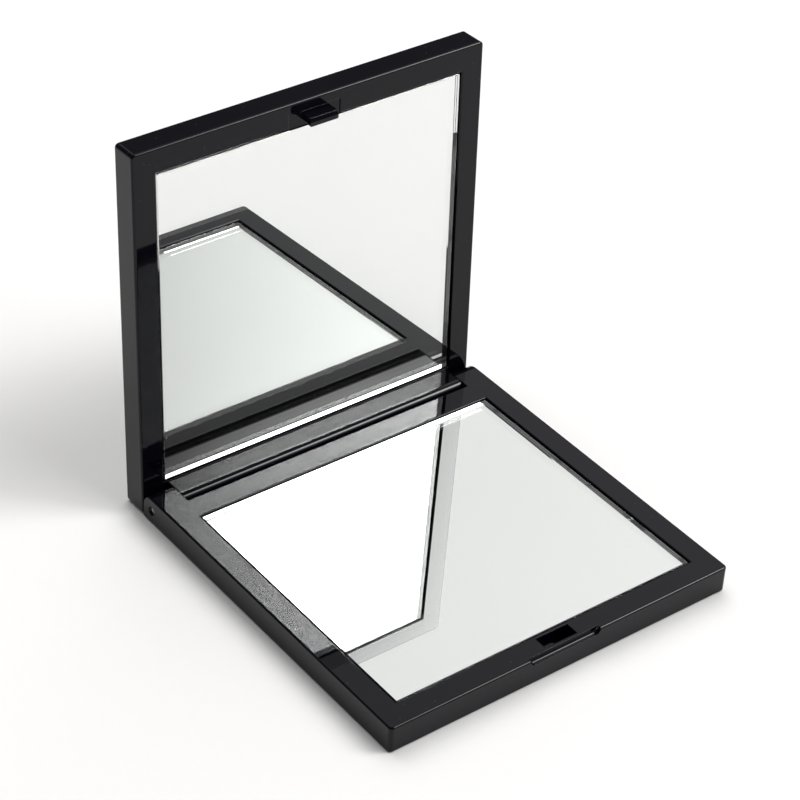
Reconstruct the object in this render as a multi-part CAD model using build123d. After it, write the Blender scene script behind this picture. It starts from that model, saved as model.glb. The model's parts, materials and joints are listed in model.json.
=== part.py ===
from build123d import *
import os

# A square folding compact with a mirror in each half, lid standing open against its stop.
# Millimetres. X is across, Y points from the front edge to the hinge, Z is up.
# The origin is the centre of the base's underside.

os.makedirs("parts", exist_ok=True)

# Overall sizes
width = 66.0
depth = 66.0
half_height = 4.85
open_angle = 92.0

# Border around the mirrors
side_border = 4.2
base_front_border = 4.3
lid_front_border = 4.4
hinge_strip = 4.25
lid_hinge_border = 5.0

# Rounding
corner_radius = 0.7
edge_radius = 0.35
rim_radius = 0.3
stop_edge_radius = 0.3

# Layers behind each mirror opening
mirror_recess = 0.2
glass_thickness = 1.3
glass_side_clearance = 0.12
glass_chamfer = 0.18
tape_thickness = 0.2
tape_width = 9.0
tape_inset = 2.0
tape_count = 3
web_thickness = 1.0

# Cover plates on the outside of each half
plate_thickness = 1.0
plate_margin = 2.0
plate_clearance = 0.06
plate_edge_radius = 0.1
cavity_margin = 6.0
post_radius = 1.6
post_inset = 12.0

# Hinge
ear_width = 4.7
lug_end_clearance = 0.15
lug_front_gap = 1.03
lug_front_radius = 1.3
lug_floor_clearance = 0.06
lid_gap = 0.1
lid_setback = 0.3
pin_diameter = 1.2
pin_running_clearance = 0.04
pin_length = 9.5
pin_recess = 0.4
pin_end_chamfer = 0.12
pin_countersink = 0.3
pin_hole_spare = 0.3

# Latch pocket in the base's front border
pocket_half_width = 3.1
pocket_front = 1.2
pocket_length = 2.45
pocket_depth = 3.0
lip_thickness = 1.2
lip_undercut = 0.25

# Latch hook on the lid, measured from the lid's inner face
hook_half_width = 2.6
hook_front_gap = 0.75
hook_thickness = 1.0
hook_reach = 2.7
hook_corner_radius = 0.5
hook_lead_length = 0.65
hook_lead_height = 0.3
barb_clearance = 0.1
barb_height = 0.25
barb_tip_height = 0.35
barb_slope = 0.25
barb_tip_setback = 0.27

# Foot of the latch hook
foot_half_width = 4.9
foot_front_margin = 0.25
foot_recess = 0.15
foot_thickness = 0.9
foot_clearance = 0.04
peg_radius = 0.5
peg_length = 1.0
peg_spacing = 7.0

# Fingernail notch in the base's front edge
nail_half_width = 6.85
nail_depth = 0.75
nail_height = 1.05
nail_end_radius = 0.95
nail_root_radius = 0.4

# Shallow relief in the base opening beside the pocket
relief_half_width = 4.8
relief_depth = 0.2
relief_height = 0.5

# Places worked out from the sizes above
half_width = width / 2
front = -depth / 2
rear = depth / 2
ear_radius = half_height / 2
axis_y = rear - ear_radius
axis_z = ear_radius
hinge_axis = Axis((0, axis_y, axis_z), (1, 0, 0))
lug_radius = ear_radius - lug_floor_clearance
notch_front = axis_y - ear_radius - lug_front_gap
notch_half_width = half_width - ear_width
lug_half_width = notch_half_width - lug_end_clearance
opening_half_width = half_width - side_border
lid_face = half_height + lid_gap
lid_rear = rear - lid_setback
recess_depth = mirror_recess + glass_thickness + tape_thickness
cavity_start = recess_depth + web_thickness
plate_start = half_height - plate_thickness
pocket_rear = front + pocket_front + pocket_length
hook_front = front + pocket_front + hook_front_gap
foot_front = hook_front - foot_front_margin

# Front and rear ends of the mirror openings and of the seats for the cover plates
base_opening = (front + base_front_border, notch_front - hinge_strip)
lid_opening = (front + lid_front_border, rear - lid_hinge_border)
base_plate_span = (front + plate_margin, notch_front - plate_margin)
lid_plate_span = (front + plate_margin, lid_rear - plate_margin)

# How far a cut runs past a face, how near counts as touching, and what keeps a round off its limit
overcut = 1.0
nearness = 0.01
fillet_spare = 0.001


def slab(half_x, y_span, z_span):
    """A block centred on X, between two Y values and two Z values."""
    y0, y1 = sorted(y_span)
    z0, z1 = sorted(z_span)
    block = Box(2 * half_x, y1 - y0, z1 - z0)
    return Pos(0, (y0 + y1) / 2, (z0 + z1) / 2) * block


def behind(face, side, start, end):
    """The Z values of a layer that lies from start to end behind an inner face."""
    return (face + side * start, face + side * end)


def along_x(radius, x_span, y, z):
    """A round bar along X."""
    x0, x1 = sorted(x_span)
    bar = Cylinder(radius, x1 - x0)
    return Pos((x0 + x1) / 2, y, z) * (Rot(0, 90, 0) * bar)


def rounded_block(y_span, z_span):
    """A block of the full width with rounded upright corners and rounded edges."""
    block = slab(half_width, y_span, z_span)
    block = fillet(block.edges().filter_by(Axis.Z), corner_radius)
    flat_faces = block.faces().filter_by(Axis.Z)
    return fillet(flat_faces.edges(), edge_radius)


def base_blank():
    """The base's outer shape, with the round top of the hinge ears."""
    block = slab(half_width, (front, rear), (0, half_height))
    top_rear = block.edges().filter_by(Axis.X).group_by(Axis.Y)[-1].sort_by(Axis.Z)[-1]
    block = fillet(top_rear, ear_radius - fillet_spare)
    front_corners = block.edges().filter_by(Axis.Z).group_by(Axis.Y)[0]
    block = fillet(front_corners, corner_radius)
    bottom_rear = block.edges().filter_by(Axis.X).group_by(Axis.Y)[-1].sort_by(Axis.Z)[0]
    block = fillet(bottom_rear, stop_edge_radius)
    side_edges = block.faces().sort_by(Axis.X)[0].edges() + block.faces().sort_by(Axis.X)[-1].edges()
    level = [edge for edge in side_edges if edge not in block.edges().filter_by(Axis.Z)]
    front_edges = block.edges().filter_by(Axis.X).group_by(Axis.Y)[0]
    front_arcs = [edge for edge in block.edges().filter_by(GeomType.CIRCLE) if edge.arc_center.Y < 0]
    return fillet(level + list(front_edges) + front_arcs, edge_radius)


def opening_tool(y_span, face, side):
    """What the mirror opening takes out of a half, up to and past its inner face."""
    z_span = behind(face, side, -overcut, recess_depth)
    return slab(opening_half_width, y_span, z_span)


def soften_rim(body, y_span, face, sides):
    """Rounds the edges of the mirror opening in the inner face, as many as sides, front one first."""
    rim = []
    for edge in body.edges():
        centre = edge.center()
        inside_x = abs(centre.X) < opening_half_width + nearness
        inside_y = y_span[0] - nearness < centre.Y < y_span[1] + nearness
        if inside_x and inside_y and abs(centre.Z - face) < nearness:
            rim.append(edge)
    rim.sort(key=lambda edge: edge.center().Y)
    return fillet(rim[:sides], rim_radius)


def hollow_back(body, plate_span, face, side):
    """Cuts the plate's seat and the cavity behind the web, and leaves four posts."""
    y0, y1 = plate_span
    seat_depth = behind(face, side, plate_start, half_height + overcut)
    seat = slab(half_width - plate_margin, plate_span, seat_depth)
    inner = (y0 + cavity_margin - plate_margin, y1 - cavity_margin + plate_margin)
    cavity = slab(half_width - cavity_margin, inner, behind(face, side, cavity_start, plate_start))
    for x in (-half_width + post_inset, half_width - post_inset):
        for y in (y0 + post_inset, y1 - post_inset):
            z0, z1 = sorted(behind(face, side, cavity_start, plate_start))
            cavity -= Pos(x, y, (z0 + z1) / 2) * Cylinder(post_radius, z1 - z0)
    return body - seat - cavity


def cover_plate(plate_span, face, side):
    """A flat plate that fills its seat, with softened outer edges."""
    y_span = (plate_span[0] + plate_clearance, plate_span[1] - plate_clearance)
    z_span = behind(face, side, plate_start, half_height)
    plate = slab(half_width - plate_margin - plate_clearance, y_span, z_span)
    outer = plate.faces().sort_by(Axis.Z)[-1 if side > 0 else 0]
    return fillet(outer.edges(), plate_edge_radius)


def mirror_glass(y_span, face, side):
    """A sheet of mirror glass with a ground edge, set just below the inner face."""
    inset = (y_span[0] + glass_side_clearance, y_span[1] - glass_side_clearance)
    z_span = behind(face, side, mirror_recess, mirror_recess + glass_thickness)
    glass = slab(opening_half_width - glass_side_clearance, inset, z_span)
    inner = glass.faces().sort_by(Axis.Z)[0 if side > 0 else -1]
    return chamfer(inner.edges(), glass_chamfer)


def mirror_tape(y_span, face, side):
    """Strips of double-sided tape between the glass and the web."""
    first = y_span[0] + tape_inset + tape_width / 2
    last = y_span[1] - tape_inset - tape_width / 2
    z_span = behind(face, side, mirror_recess + glass_thickness, recess_depth)
    strips = []
    for index in range(tape_count):
        y = first + (last - first) * index / (tape_count - 1)
        span = (y - tape_width / 2, y + tape_width / 2)
        strips.append(slab(opening_half_width - tape_inset, span, z_span))
    return Compound(strips)


def latch_pocket():
    """The pocket that the hook drops into, wider behind its lip."""
    z_span = (half_height - pocket_depth, half_height + overcut)
    mouth = slab(pocket_half_width, (front + pocket_front, pocket_rear), z_span)
    under_lip = slab(pocket_half_width, (pocket_rear, pocket_rear + lip_undercut),
                     (half_height - pocket_depth, half_height - lip_thickness))
    return mouth + under_lip


def nail_notch():
    """The shallow scoop for a fingernail in the front edge."""
    tool = slab(nail_half_width, (front - overcut, front + nail_depth),
                (half_height - nail_height, half_height + overcut))
    low_ends = tool.edges().filter_by(Axis.Y).group_by(Axis.Z)[0]
    tool = fillet(low_ends, nail_end_radius)
    root = tool.faces().sort_by(Axis.Y)[-1].edges().filter_by(Axis.X).sort_by(Axis.Z)[0]
    return fillet(root, nail_root_radius)


def pin_hole(side):
    """The pin's hole through one ear, with its countersink."""
    ear_inside = side * (notch_half_width - overcut)
    ear_outside = side * (half_width + overcut)
    bore = along_x(pin_diameter / 2, (ear_inside, ear_outside), axis_y, axis_z)
    sink = Cone(pin_diameter / 2, pin_diameter / 2 + pin_countersink, pin_countersink)
    sink = Rot(0, 90 * side, 0) * sink
    return bore + Pos(side * (half_width - pin_countersink / 2), axis_y, axis_z) * sink


def base_frame():
    """The base's shell, with its ears, mirror opening, hollow back, latch pocket and nail notch."""
    body = base_blank()
    body -= slab(notch_half_width, (notch_front, rear + overcut), (-overcut, half_height + overcut))
    body -= opening_tool(base_opening, half_height, -1)
    body = soften_rim(body, base_opening, half_height, 4)
    body = hollow_back(body, base_plate_span, half_height, -1)
    body -= slab(relief_half_width, (base_opening[0] - relief_depth, base_opening[0] + overcut),
                 (half_height - relief_height, half_height + overcut))
    body -= latch_pocket()
    body -= nail_notch()
    for side in (-1, 1):
        body -= pin_hole(side)
    return body


def hinge_lug():
    """The lid's long hinge lug, round behind and below the axis and flat in front."""
    bar = slab(lug_half_width, (axis_y - ear_radius, axis_y), (axis_z - lug_radius, lid_face + edge_radius))
    low_front = bar.edges().filter_by(Axis.X).group_by(Axis.Z)[0].sort_by(Axis.Y)[0]
    bar = fillet(low_front, lug_front_radius)
    bar += along_x(lug_radius, (-lug_half_width, lug_half_width), axis_y, axis_z)
    bar += slab(lug_half_width, (axis_y - ear_radius / 2, lid_rear - corner_radius),
                (axis_z, lid_face + edge_radius))
    bore = pin_diameter / 2 + pin_running_clearance
    for side in (-1, 1):
        pin_end = half_width - pin_recess - pin_length - pin_hole_spare
        bar -= along_x(bore, (side * pin_end, side * half_width), axis_y, axis_z)
    return bar


def foot_seat():
    """The seat of the hook's foot in the lid border, with holes for its pegs."""
    seat_depth = foot_recess + foot_thickness
    seat = slab(foot_half_width, (foot_front, lid_opening[0] + overcut),
                behind(lid_face, 1, -overcut, seat_depth))
    return seat + foot_pegs(peg_radius + foot_clearance, foot_clearance)


def foot_pegs(radius, spare):
    """The two pegs behind the hook's foot."""
    foot_back = foot_recess + foot_thickness
    z0, z1 = behind(lid_face, 1, foot_back, foot_back + peg_length + spare)
    y = (foot_front + lid_opening[0]) / 2
    peg = Pos(0, y, (z0 + z1) / 2) * Cylinder(radius, z1 - z0)
    return Pos(-peg_spacing / 2, 0, 0) * peg + Pos(peg_spacing / 2, 0, 0) * peg


def lid_frame():
    """The lid's shell with its lug. The opening's rear rim stays sharp, close beside the lug."""
    body = rounded_block((front, lid_rear), (lid_face, lid_face + half_height))
    body += hinge_lug()
    body -= opening_tool(lid_opening, lid_face, 1)
    body = soften_rim(body, lid_opening, lid_face, 3)
    body = hollow_back(body, lid_plate_span, lid_face, 1)
    return body - foot_seat()


def latch_hook():
    """The snap hook: a post with a barb towards the mirror, on a rectangular foot."""
    foot = slab(foot_half_width - foot_clearance,
                (foot_front + foot_clearance, lid_opening[0]),
                behind(lid_face, 1, foot_recess, foot_recess + foot_thickness))
    tip = lid_face - hook_reach
    post_rear = hook_front + hook_thickness
    crest = pocket_rear - barb_clearance
    outline = Polyline(
        (hook_front, lid_face + foot_recess),
        (hook_front, tip + hook_lead_height),
        (hook_front + hook_lead_length, tip),
        (crest - barb_tip_setback, tip),
        (crest, tip + barb_tip_height),
        (crest, tip + barb_tip_height + barb_height),
        (post_rear, tip + barb_tip_height + barb_height + barb_slope),
        (post_rear, lid_face + foot_recess),
        (hook_front, lid_face + foot_recess),
    )
    post = extrude(Plane.YZ * make_face(outline), hook_half_width, both=True)
    sleeve = slab(hook_half_width, (hook_front, crest), (tip, lid_face + foot_recess))
    rear_corners = sleeve.edges().filter_by(Axis.Z).group_by(Axis.Y)[-1]
    post &= fillet(rear_corners, hook_corner_radius)
    return foot + post + foot_pegs(peg_radius, 0)


def hinge_pin(side):
    """A plain pin pressed into one ear, with chamfered ends."""
    outer = half_width - pin_recess
    pin = along_x(pin_diameter / 2, (side * (outer - pin_length), side * outer), axis_y, axis_z)
    return chamfer(pin.edges().filter_by(GeomType.CIRCLE), pin_end_chamfer)


def opened(shape):
    """Turns a piece of the closed lid to the open position."""
    return shape.rotate(hinge_axis, -open_angle)


nodes = {
    "base_frame": base_frame(),
    "base_bottom_plate": cover_plate(base_plate_span, half_height, -1),
    "base_mirror": mirror_glass(base_opening, half_height, -1),
    "base_mirror_tape": mirror_tape(base_opening, half_height, -1),
    "hinge_pin_left": hinge_pin(-1),
    "hinge_pin_right": hinge_pin(1),
    "lid_frame": opened(lid_frame()),
    "lid_cover_plate": opened(cover_plate(lid_plate_span, lid_face, 1)),
    "lid_mirror": opened(mirror_glass(lid_opening, lid_face, 1)),
    "lid_mirror_tape": opened(mirror_tape(lid_opening, lid_face, 1)),
    "latch_hook": opened(latch_hook()),
}

for name, shape in nodes.items():
    export_step(shape, f"parts/{name}.step")
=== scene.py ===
import json
import math
import random

import bpy
from mathutils import Matrix, Vector


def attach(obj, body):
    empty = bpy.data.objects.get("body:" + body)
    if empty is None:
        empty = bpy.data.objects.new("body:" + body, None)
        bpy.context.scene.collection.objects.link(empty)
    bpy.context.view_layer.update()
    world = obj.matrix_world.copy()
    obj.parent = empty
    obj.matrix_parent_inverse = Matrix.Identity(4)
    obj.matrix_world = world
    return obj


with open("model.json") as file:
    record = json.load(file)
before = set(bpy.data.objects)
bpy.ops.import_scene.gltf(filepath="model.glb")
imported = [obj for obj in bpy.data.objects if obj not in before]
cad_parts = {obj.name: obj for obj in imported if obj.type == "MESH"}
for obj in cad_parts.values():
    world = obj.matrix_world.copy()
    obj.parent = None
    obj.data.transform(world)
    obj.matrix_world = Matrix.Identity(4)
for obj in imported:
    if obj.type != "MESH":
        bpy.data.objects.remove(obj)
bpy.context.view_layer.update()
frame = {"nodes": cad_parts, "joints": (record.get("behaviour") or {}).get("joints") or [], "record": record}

MM = 0.001
nodes = frame["nodes"]

# Each mirror's own axes: across it, along it, and out of its face.
opening = Matrix.Rotation(-math.radians(frame["joints"][0]["range_deg"][1]), 3, "X")
BASE_MIRROR_AXES = (Vector((1, 0, 0)), Vector((0, 1, 0)), Vector((0, 0, 1)))
LID_MIRROR_AXES = (Vector((1, 0, 0)), opening @ Vector((0, -1, 0)), opening @ Vector((0, 0, -1)))


# --- Camera -----------------------------------------------------------------

CAMERA_AZIMUTH = -39.09
CAMERA_ELEVATION = 36.31
CAMERA_ROLL = 3.55
CAMERA_DISTANCE = 423.14 * MM
CAMERA_RIGHT = -4.94 * MM
CAMERA_UP = 24.23 * MM
CAMERA_LENS = 119.75
CAMERA_CLIP = 10 * MM


def make_camera():
    """A camera at the front left, above the compact, a little off the line to the origin."""
    azimuth = math.radians(CAMERA_AZIMUTH)
    elevation = math.radians(CAMERA_ELEVATION)
    roll = math.radians(CAMERA_ROLL)
    back = Vector((
        math.sin(azimuth) * math.cos(elevation),
        -math.cos(azimuth) * math.cos(elevation),
        math.sin(elevation),
    ))
    level = Vector((math.cos(azimuth), math.sin(azimuth), 0))
    upright = back.cross(level)
    right = math.cos(roll) * level + math.sin(roll) * upright
    up = math.cos(roll) * upright - math.sin(roll) * level
    data = bpy.data.cameras.new("camera")
    data.lens = CAMERA_LENS
    data.clip_start = CAMERA_CLIP
    camera = bpy.data.objects.new("camera", data)
    axes = Matrix((right, up, back)).transposed().to_4x4()
    place = back * CAMERA_DISTANCE + right * CAMERA_RIGHT + up * CAMERA_UP
    camera.matrix_world = Matrix.Translation(place) @ axes
    bpy.context.scene.collection.objects.link(camera)
    bpy.context.scene.camera = camera


# --- Node helpers -----------------------------------------------------------

# The sockets of a colour Mix node
MIX_FACTOR, MIX_FIRST, MIX_SECOND, MIX_RESULT = 0, 6, 7, 2

SCRATCH_STRETCH = 0.03
SCRATCH_TILT = 0.03
BEVEL_SAMPLES = 6


class Nodes:
    """A short way to add and join the nodes of one material."""

    def __init__(self, name):
        self.material = bpy.data.materials.new(name)
        self.material.use_nodes = True
        self.tree = self.material.node_tree
        self.shader = self.tree.nodes["Principled BSDF"]
        self.output = self.tree.nodes["Material Output"]

    def add(self, kind, **settings):
        node = self.tree.nodes.new(kind)
        for key, value in settings.items():
            setattr(node, key, value)
        return node

    def join(self, source, target):
        self.tree.links.new(source, target)

    def position(self):
        """Object coordinates, in metres."""
        return self.add("ShaderNodeTexCoord").outputs["Object"]

    def noise(self, scale, detail=3.0, roughness=0.5, distortion=0.0):
        node = self.add("ShaderNodeTexNoise")
        node.inputs["Scale"].default_value = scale
        node.inputs["Detail"].default_value = detail
        node.inputs["Roughness"].default_value = roughness
        node.inputs["Distortion"].default_value = distortion
        self.join(self.position(), node.inputs["Vector"])
        return node.outputs["Fac"]

    def ramp(self, source, low, high, out_low=0.0, out_high=1.0):
        """A clamped map of one number's range to another."""
        node = self.add("ShaderNodeMapRange", clamp=True)
        for socket, value in zip(node.inputs[1:5], (low, high, out_low, out_high)):
            socket.default_value = value
        self.join(source, node.inputs["Value"])
        return node.outputs["Result"]

    def maths(self, operation, first, second):
        node = self.add("ShaderNodeMath", operation=operation)
        for socket, value in zip(node.inputs, (first, second)):
            if isinstance(value, (int, float)):
                socket.default_value = value
            else:
                self.join(value, socket)
        return node.outputs[0]

    def blend(self, factor, first, second):
        """A colour that goes from first to second with factor."""
        node = self.add("ShaderNodeMix", data_type="RGBA")
        self.join(factor, node.inputs[MIX_FACTOR])
        for socket, value in ((node.inputs[MIX_FIRST], first), (node.inputs[MIX_SECOND], second)):
            if isinstance(value, tuple):
                socket.default_value = (*value, 1)
            else:
                self.join(value, socket)
        return node.outputs[MIX_RESULT]

    def bump(self, height, strength, distance, under=None):
        node = self.add("ShaderNodeBump")
        node.inputs["Strength"].default_value = strength
        node.inputs["Distance"].default_value = distance
        self.join(height, node.inputs["Height"])
        if under is not None:
            self.join(under, node.inputs["Normal"])
        return node.outputs["Normal"]

    def scratches(self, scale, turn, width):
        """Fine straight scratches along X. Each turn gives a different pattern."""
        mapping = self.add("ShaderNodeMapping")
        mapping.inputs["Rotation"].default_value = (0, SCRATCH_TILT, turn)
        mapping.inputs["Scale"].default_value = (SCRATCH_STRETCH, 1, 1)
        self.join(self.position(), mapping.inputs["Vector"])
        cells = self.add("ShaderNodeTexVoronoi", feature="DISTANCE_TO_EDGE")
        cells.inputs["Scale"].default_value = scale
        self.join(mapping.outputs["Vector"], cells.inputs["Vector"])
        return self.ramp(cells.outputs["Distance"], 0.0, width, 1.0, 0.0)

    def soft_edges(self, radius):
        """A normal that rounds sharp edges a little, so that they catch the light."""
        node = self.add("ShaderNodeBevel", samples=BEVEL_SAMPLES)
        node.inputs["Radius"].default_value = radius
        return node.outputs["Normal"]

    def specks(self, scale, size, share):
        """Small round specks in a share of the cells of a random grid."""
        cells = self.add("ShaderNodeTexVoronoi")
        cells.inputs["Scale"].default_value = scale
        self.join(self.position(), cells.inputs["Vector"])
        chance = self.add("ShaderNodeSeparateColor")
        self.join(cells.outputs["Color"], chance.inputs[0])
        chosen = self.maths("LESS_THAN", chance.outputs[0], share)
        spots = self.ramp(cells.outputs["Distance"], size / 2, size, 1.0, 0.0)
        return self.maths("MULTIPLY", chosen, spots)


# --- Materials --------------------------------------------------------------

PLASTIC_IOR = 1.30
EDGE_SOFTNESS = 0.12 * MM
WAVE_HEIGHT = 0.03 * MM
SCRATCH_HEIGHT = 0.01 * MM
FIBRE_HEIGHT = 0.03 * MM
WIRE_HEIGHT = 0.01 * MM
GLASS_IOR = 1.5


def black_gloss():
    """Polished black moulded plastic: slightly wavy, with fine scratches, smears and dust."""
    m = Nodes("black_gloss_look")
    smear = m.noise(90, detail=4, roughness=0.6, distortion=0.4)
    tone = m.ramp(smear, 0.35, 0.7)
    dust = m.specks(720, size=0.055, share=0.8)
    colour = m.blend(tone, (0.0012, 0.0011, 0.0034), (0.0020, 0.0019, 0.0046))
    m.join(m.blend(dust, colour, (0.10, 0.10, 0.10)), m.shader.inputs["Base Color"])
    marks = m.scratches(300, turn=0.10, width=0.008)
    other_marks = m.scratches(210, turn=-0.16, width=0.006)
    patchy = m.ramp(m.noise(60, detail=2), 0.55, 0.65)
    marks = m.maths("MULTIPLY", m.maths("MAXIMUM", marks, other_marks), patchy)
    rough = m.ramp(smear, 0.3, 0.75, 0.01, 0.04)
    rough = m.maths("ADD", rough, m.maths("MULTIPLY", marks, 0.06))
    rough = m.maths("ADD", rough, m.maths("MULTIPLY", dust, 0.5))
    m.join(rough, m.shader.inputs["Roughness"])
    swell = m.noise(70, detail=0, roughness=0.4)
    waves = m.bump(swell, 1.0, WAVE_HEIGHT, m.soft_edges(EDGE_SOFTNESS))
    scored = m.bump(m.maths("SUBTRACT", 1.0, marks), 0.01, SCRATCH_HEIGHT, waves)
    m.join(scored, m.shader.inputs["Normal"])
    m.shader.inputs["IOR"].default_value = PLASTIC_IOR
    return m.material


def mirror_glass():
    """The clear glass of a mirror, with polished edges, a few light scratches and dust."""
    m = Nodes("mirror_glass_look")
    dust = m.specks(420, size=0.035, share=0.5)
    colour = m.blend(dust, (0.985, 0.995, 0.990), (0.25, 0.25, 0.24))
    m.join(colour, m.shader.inputs["Base Color"])
    m.shader.inputs["Transmission Weight"].default_value = 1.0
    patchy = m.ramp(m.noise(75, detail=2), 0.60, 0.66)
    marks = m.maths("MULTIPLY", m.scratches(190, turn=0.13, width=0.005), patchy)
    m.join(m.maths("MULTIPLY", marks, 0.04), m.shader.inputs["Roughness"])
    m.shader.inputs["IOR"].default_value = GLASS_IOR
    return m.material


def silver():
    """The silver coating behind the glass: a clean mirror with a faint haze."""
    m = Nodes("silver_look")
    haze = m.noise(30, detail=3, roughness=0.5, distortion=0.2)
    colour = m.blend(m.ramp(haze, 0.3, 0.7), (0.835, 0.842, 0.830), (0.848, 0.856, 0.844))
    m.join(colour, m.shader.inputs["Base Color"])
    m.shader.inputs["Metallic"].default_value = 1.0
    m.join(m.ramp(haze, 0.3, 0.8, 0.0, 0.006), m.shader.inputs["Roughness"])
    return m.material


def white_tape():
    """Double-sided tape: matt white, with a faint fibre."""
    m = Nodes("white_tape_look")
    fibre = m.noise(900, detail=5, roughness=0.7)
    colour = m.blend(fibre, (0.62, 0.62, 0.58), (0.80, 0.80, 0.77))
    m.join(colour, m.shader.inputs["Base Color"])
    m.join(m.ramp(fibre, 0.2, 0.8, 0.65, 0.9), m.shader.inputs["Roughness"])
    m.join(m.bump(fibre, 0.3, FIBRE_HEIGHT), m.shader.inputs["Normal"])
    return m.material


def pin_steel():
    """Drawn steel wire: a fine grain and faint stains."""
    m = Nodes("pin_steel_look")
    stain = m.noise(700, detail=4, roughness=0.6)
    colour = m.blend(stain, (0.42, 0.42, 0.43), (0.60, 0.60, 0.61))
    m.join(colour, m.shader.inputs["Base Color"])
    m.shader.inputs["Metallic"].default_value = 1.0
    m.join(m.ramp(stain, 0.2, 0.8, 0.22, 0.42), m.shader.inputs["Roughness"])
    m.join(m.bump(m.noise(5000, detail=2), 0.2, WIRE_HEIGHT), m.shader.inputs["Normal"])
    return m.material


def floor_paper():
    """Smooth white studio paper."""
    m = Nodes("floor_paper")
    grain = m.noise(700, detail=4, roughness=0.6)
    colour = m.blend(grain, (0.870, 0.862, 0.856), (0.885, 0.877, 0.871))
    m.join(colour, m.shader.inputs["Base Color"])
    m.shader.inputs["Roughness"].default_value = 0.9
    m.shader.inputs["Specular IOR Level"].default_value = 0.1
    return m.material


def finish_cad_nodes():
    """Gives each CAD node the material of its record slot."""
    looks = {
        "black_gloss": black_gloss(),
        "mirror_glass": mirror_glass(),
        "white_tape": white_tape(),
        "pin_steel": pin_steel(),
    }
    for part in frame["record"]["subparts"]:
        obj = nodes[part["node"]]
        obj.data.materials.clear()
        obj.data.materials.append(looks[part["material_slot"]])


# --- Silver coatings --------------------------------------------------------

SILVER_DEPTH = 0.012 * MM
SILVER_INSET = 0.03 * MM
SILVER_STEP = 0.2 * MM
CHIPS = 9
CHIP_SEEDS = {"base_silver": 5, "lid_silver": 11}
CHIP_SPAN = (0.4, 1.6)
CHIP_DEPTH = (0.1, 0.45)
EDGE_WEAR = 0.05


def worn_outline(low, high, seed):
    """A coating's outline: straight on three sides, and worn and chipped along its right side."""
    random.seed(seed)
    chips = []
    for _ in range(CHIPS):
        middle = random.uniform(low[1], high[1])
        span = random.uniform(*CHIP_SPAN) * MM
        chips.append((middle, span, random.uniform(*CHIP_DEPTH) * MM))
    points = [Vector(low), Vector((high[0], low[1]))]
    for index in range(1, int((high[1] - low[1]) / SILVER_STEP)):
        place = low[1] + index * SILVER_STEP
        depth = random.uniform(0, EDGE_WEAR) * MM
        for middle, span, deep in chips:
            depth = max(depth, deep * random.uniform(0.6, 1) * (1 - abs(place - middle) / span))
        points.append(Vector((high[0] - depth, place)))
    return points + [Vector(high), Vector((low[0], high[1]))]


def make_silver(name, node, body, axes):
    """A coating just inside the back face of a mirror's glass, drawn in that face's own axes."""
    rightward, upward, outward = axes
    corners = [v.co for v in nodes[node].data.vertices]
    spans = [[min(c @ axis for c in corners), max(c @ axis for c in corners)] for axis in axes]
    low = (spans[0][0] + SILVER_INSET, spans[1][0] + SILVER_INSET)
    high = (spans[0][1] - SILVER_INSET, spans[1][1] - SILVER_INSET)
    back = outward * (spans[2][0] + SILVER_DEPTH)
    outline = worn_outline(low, high, CHIP_SEEDS[name])
    mesh = bpy.data.meshes.new(name)
    verts = [rightward * p.x + upward * p.y + back for p in outline]
    mesh.from_pydata(verts, [], [list(range(len(verts)))])
    mesh.materials.append(silver())
    coating = bpy.data.objects.new(name, mesh)
    bpy.context.scene.collection.objects.link(coating)
    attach(coating, body)


# --- Floor and light --------------------------------------------------------

FLOOR_SIZE = 6.0
FLOOR_DROP = 0.02 * MM

# A card's sides are left, right, low and high, in metres from its middle.
# Its glow is from X, to X, and the strength at each.
FRONT_PLACE = (40, 50, 1.3)
FRONT_SIDES = (-0.60, 0.55, -0.75, 0.12)
FRONT_GLOW = (-0.30, 0.0, 0.55, 1.50)
BEAM = 19
BEAM_RIGHTWARD = (-0.15, 0.11)
BEAM_UPWARD = (-0.36, -0.24)
BACK_PLACE = (138, 50, 2.2)
BACK_SIDES = (-1.2, 1.2, -0.62, 0.9)
BACK_GLOW = (-0.35, 0.2, 1.05, 0.90)

# Lamps: place, size in metres and power in watts.
KEY = ((42, 50, 1.3), 0.8, 18.5)
FILL = ((165, 60, 1.5), 1.6, 18)
ROOM_STRENGTH = 0.14


def make_floor():
    """A wide white floor just under the base."""
    bpy.ops.mesh.primitive_plane_add(size=FLOOR_SIZE, location=(0, 0, -FLOOR_DROP))
    floor = bpy.context.object
    floor.name = "floor"
    floor.data.materials.append(floor_paper())


def card_light(name, glow, beam=0, rightward=(0, 1), upward=(0, 1)):
    """A glow that changes to the right, and a beam that grows to the right and upward."""
    m = Nodes(name)
    m.tree.nodes.remove(m.shader)
    light = m.add("ShaderNodeEmission")
    axes = m.add("ShaderNodeSeparateXYZ")
    m.join(m.position(), axes.inputs[0])
    across = m.ramp(axes.outputs["X"], *rightward)
    growth = m.maths("MULTIPLY", across, m.ramp(axes.outputs["Y"], *upward))
    strength = m.maths("ADD", m.ramp(axes.outputs["X"], *glow), m.maths("MULTIPLY", growth, beam))
    m.join(strength, light.inputs["Strength"])
    m.join(light.outputs[0], m.output.inputs["Surface"])
    return m.material


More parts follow.
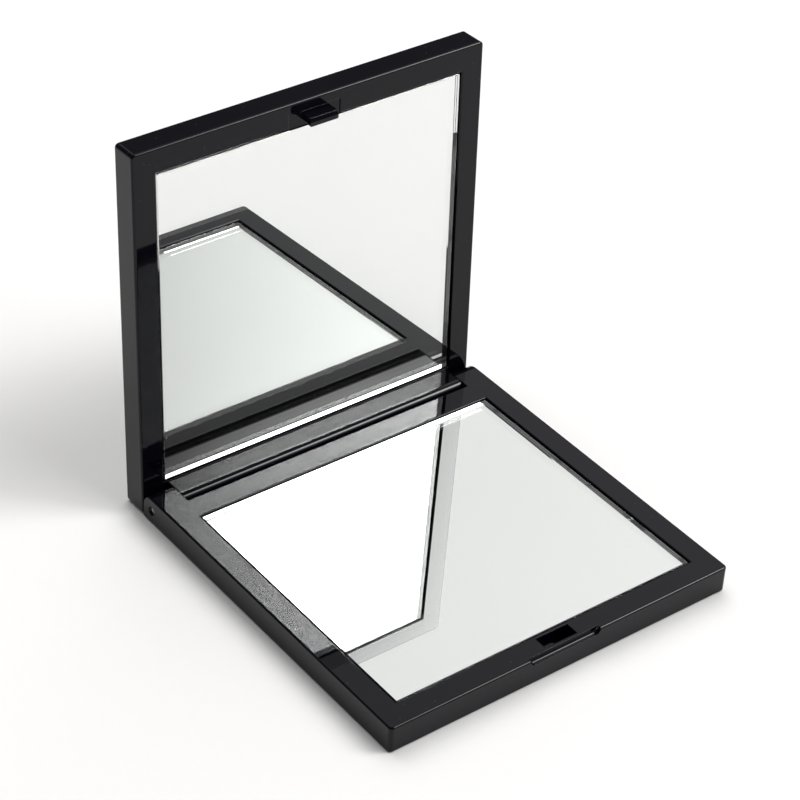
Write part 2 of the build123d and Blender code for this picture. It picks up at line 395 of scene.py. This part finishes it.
def facing(azimuth, elevation, distance):
    """A place that faces the origin. Azimuth turns from the front towards the right."""
    azimuth, elevation = math.radians(azimuth), math.radians(elevation)
    out = Vector((
        math.sin(azimuth) * math.cos(elevation),
        -math.cos(azimuth) * math.cos(elevation),
        math.sin(elevation),
    ))
    right = Vector((math.cos(azimuth), math.sin(azimuth), 0))
    axes = Matrix((right, out.cross(right), out)).transposed().to_4x4()
    return Matrix.Translation(out * distance) @ axes


def light_card(name, place, sides, look):
    """A glowing card, seen only in reflections. Its sides are left, right, low and high."""
    left, right, low, high = sides
    mesh = bpy.data.meshes.new(name)
    verts = [(left, low, 0), (right, low, 0), (right, high, 0), (left, high, 0)]
    mesh.from_pydata(verts, [], [[0, 1, 2, 3]])
    mesh.materials.append(look)
    card = bpy.data.objects.new(name, mesh)
    bpy.context.scene.collection.objects.link(card)
    card.matrix_world = place
    card.visible_camera = False
    card.visible_diffuse = False


def soft_light(name, place, size, power):
    """A large lamp that lights matt surfaces and is never seen in reflections."""
    data = bpy.data.lights.new(name, "AREA")
    data.size = size
    data.energy = power
    lamp = bpy.data.objects.new(name, data)
    lamp.matrix_world = place
    lamp.visible_camera = False
    lamp.visible_glossy = False
    lamp.visible_transmission = False
    bpy.context.scene.collection.objects.link(lamp)


def make_lights():
    """A feathered softbox on a card at the front right, a card behind, a key and a fill lamp."""
    softbox = card_light("front_card_light", FRONT_GLOW, BEAM, BEAM_RIGHTWARD, BEAM_UPWARD)
    light_card("front_card", facing(*FRONT_PLACE), FRONT_SIDES, softbox)
    glow = card_light("back_card_light", BACK_GLOW)
    light_card("back_card", facing(*BACK_PLACE), BACK_SIDES, glow)
    for name, (place, size, power) in (("key", KEY), ("fill", FILL)):
        soft_light(name, facing(*place), size, power)
    world = bpy.data.worlds.new("studio")
    world.use_nodes = True
    background = world.node_tree.nodes["Background"]
    background.inputs["Color"].default_value = (1, 1, 1, 1)
    background.inputs["Strength"].default_value = ROOM_STRENGTH
    bpy.context.scene.world = world


make_camera()
finish_cad_nodes()
make_silver("base_silver", "base_mirror", "base", BASE_MIRROR_AXES)
make_silver("lid_silver", "lid_mirror", "lid", LID_MIRROR_AXES)
make_floor()
make_lights()
bpy.context.scene.view_settings.view_transform = "Standard"
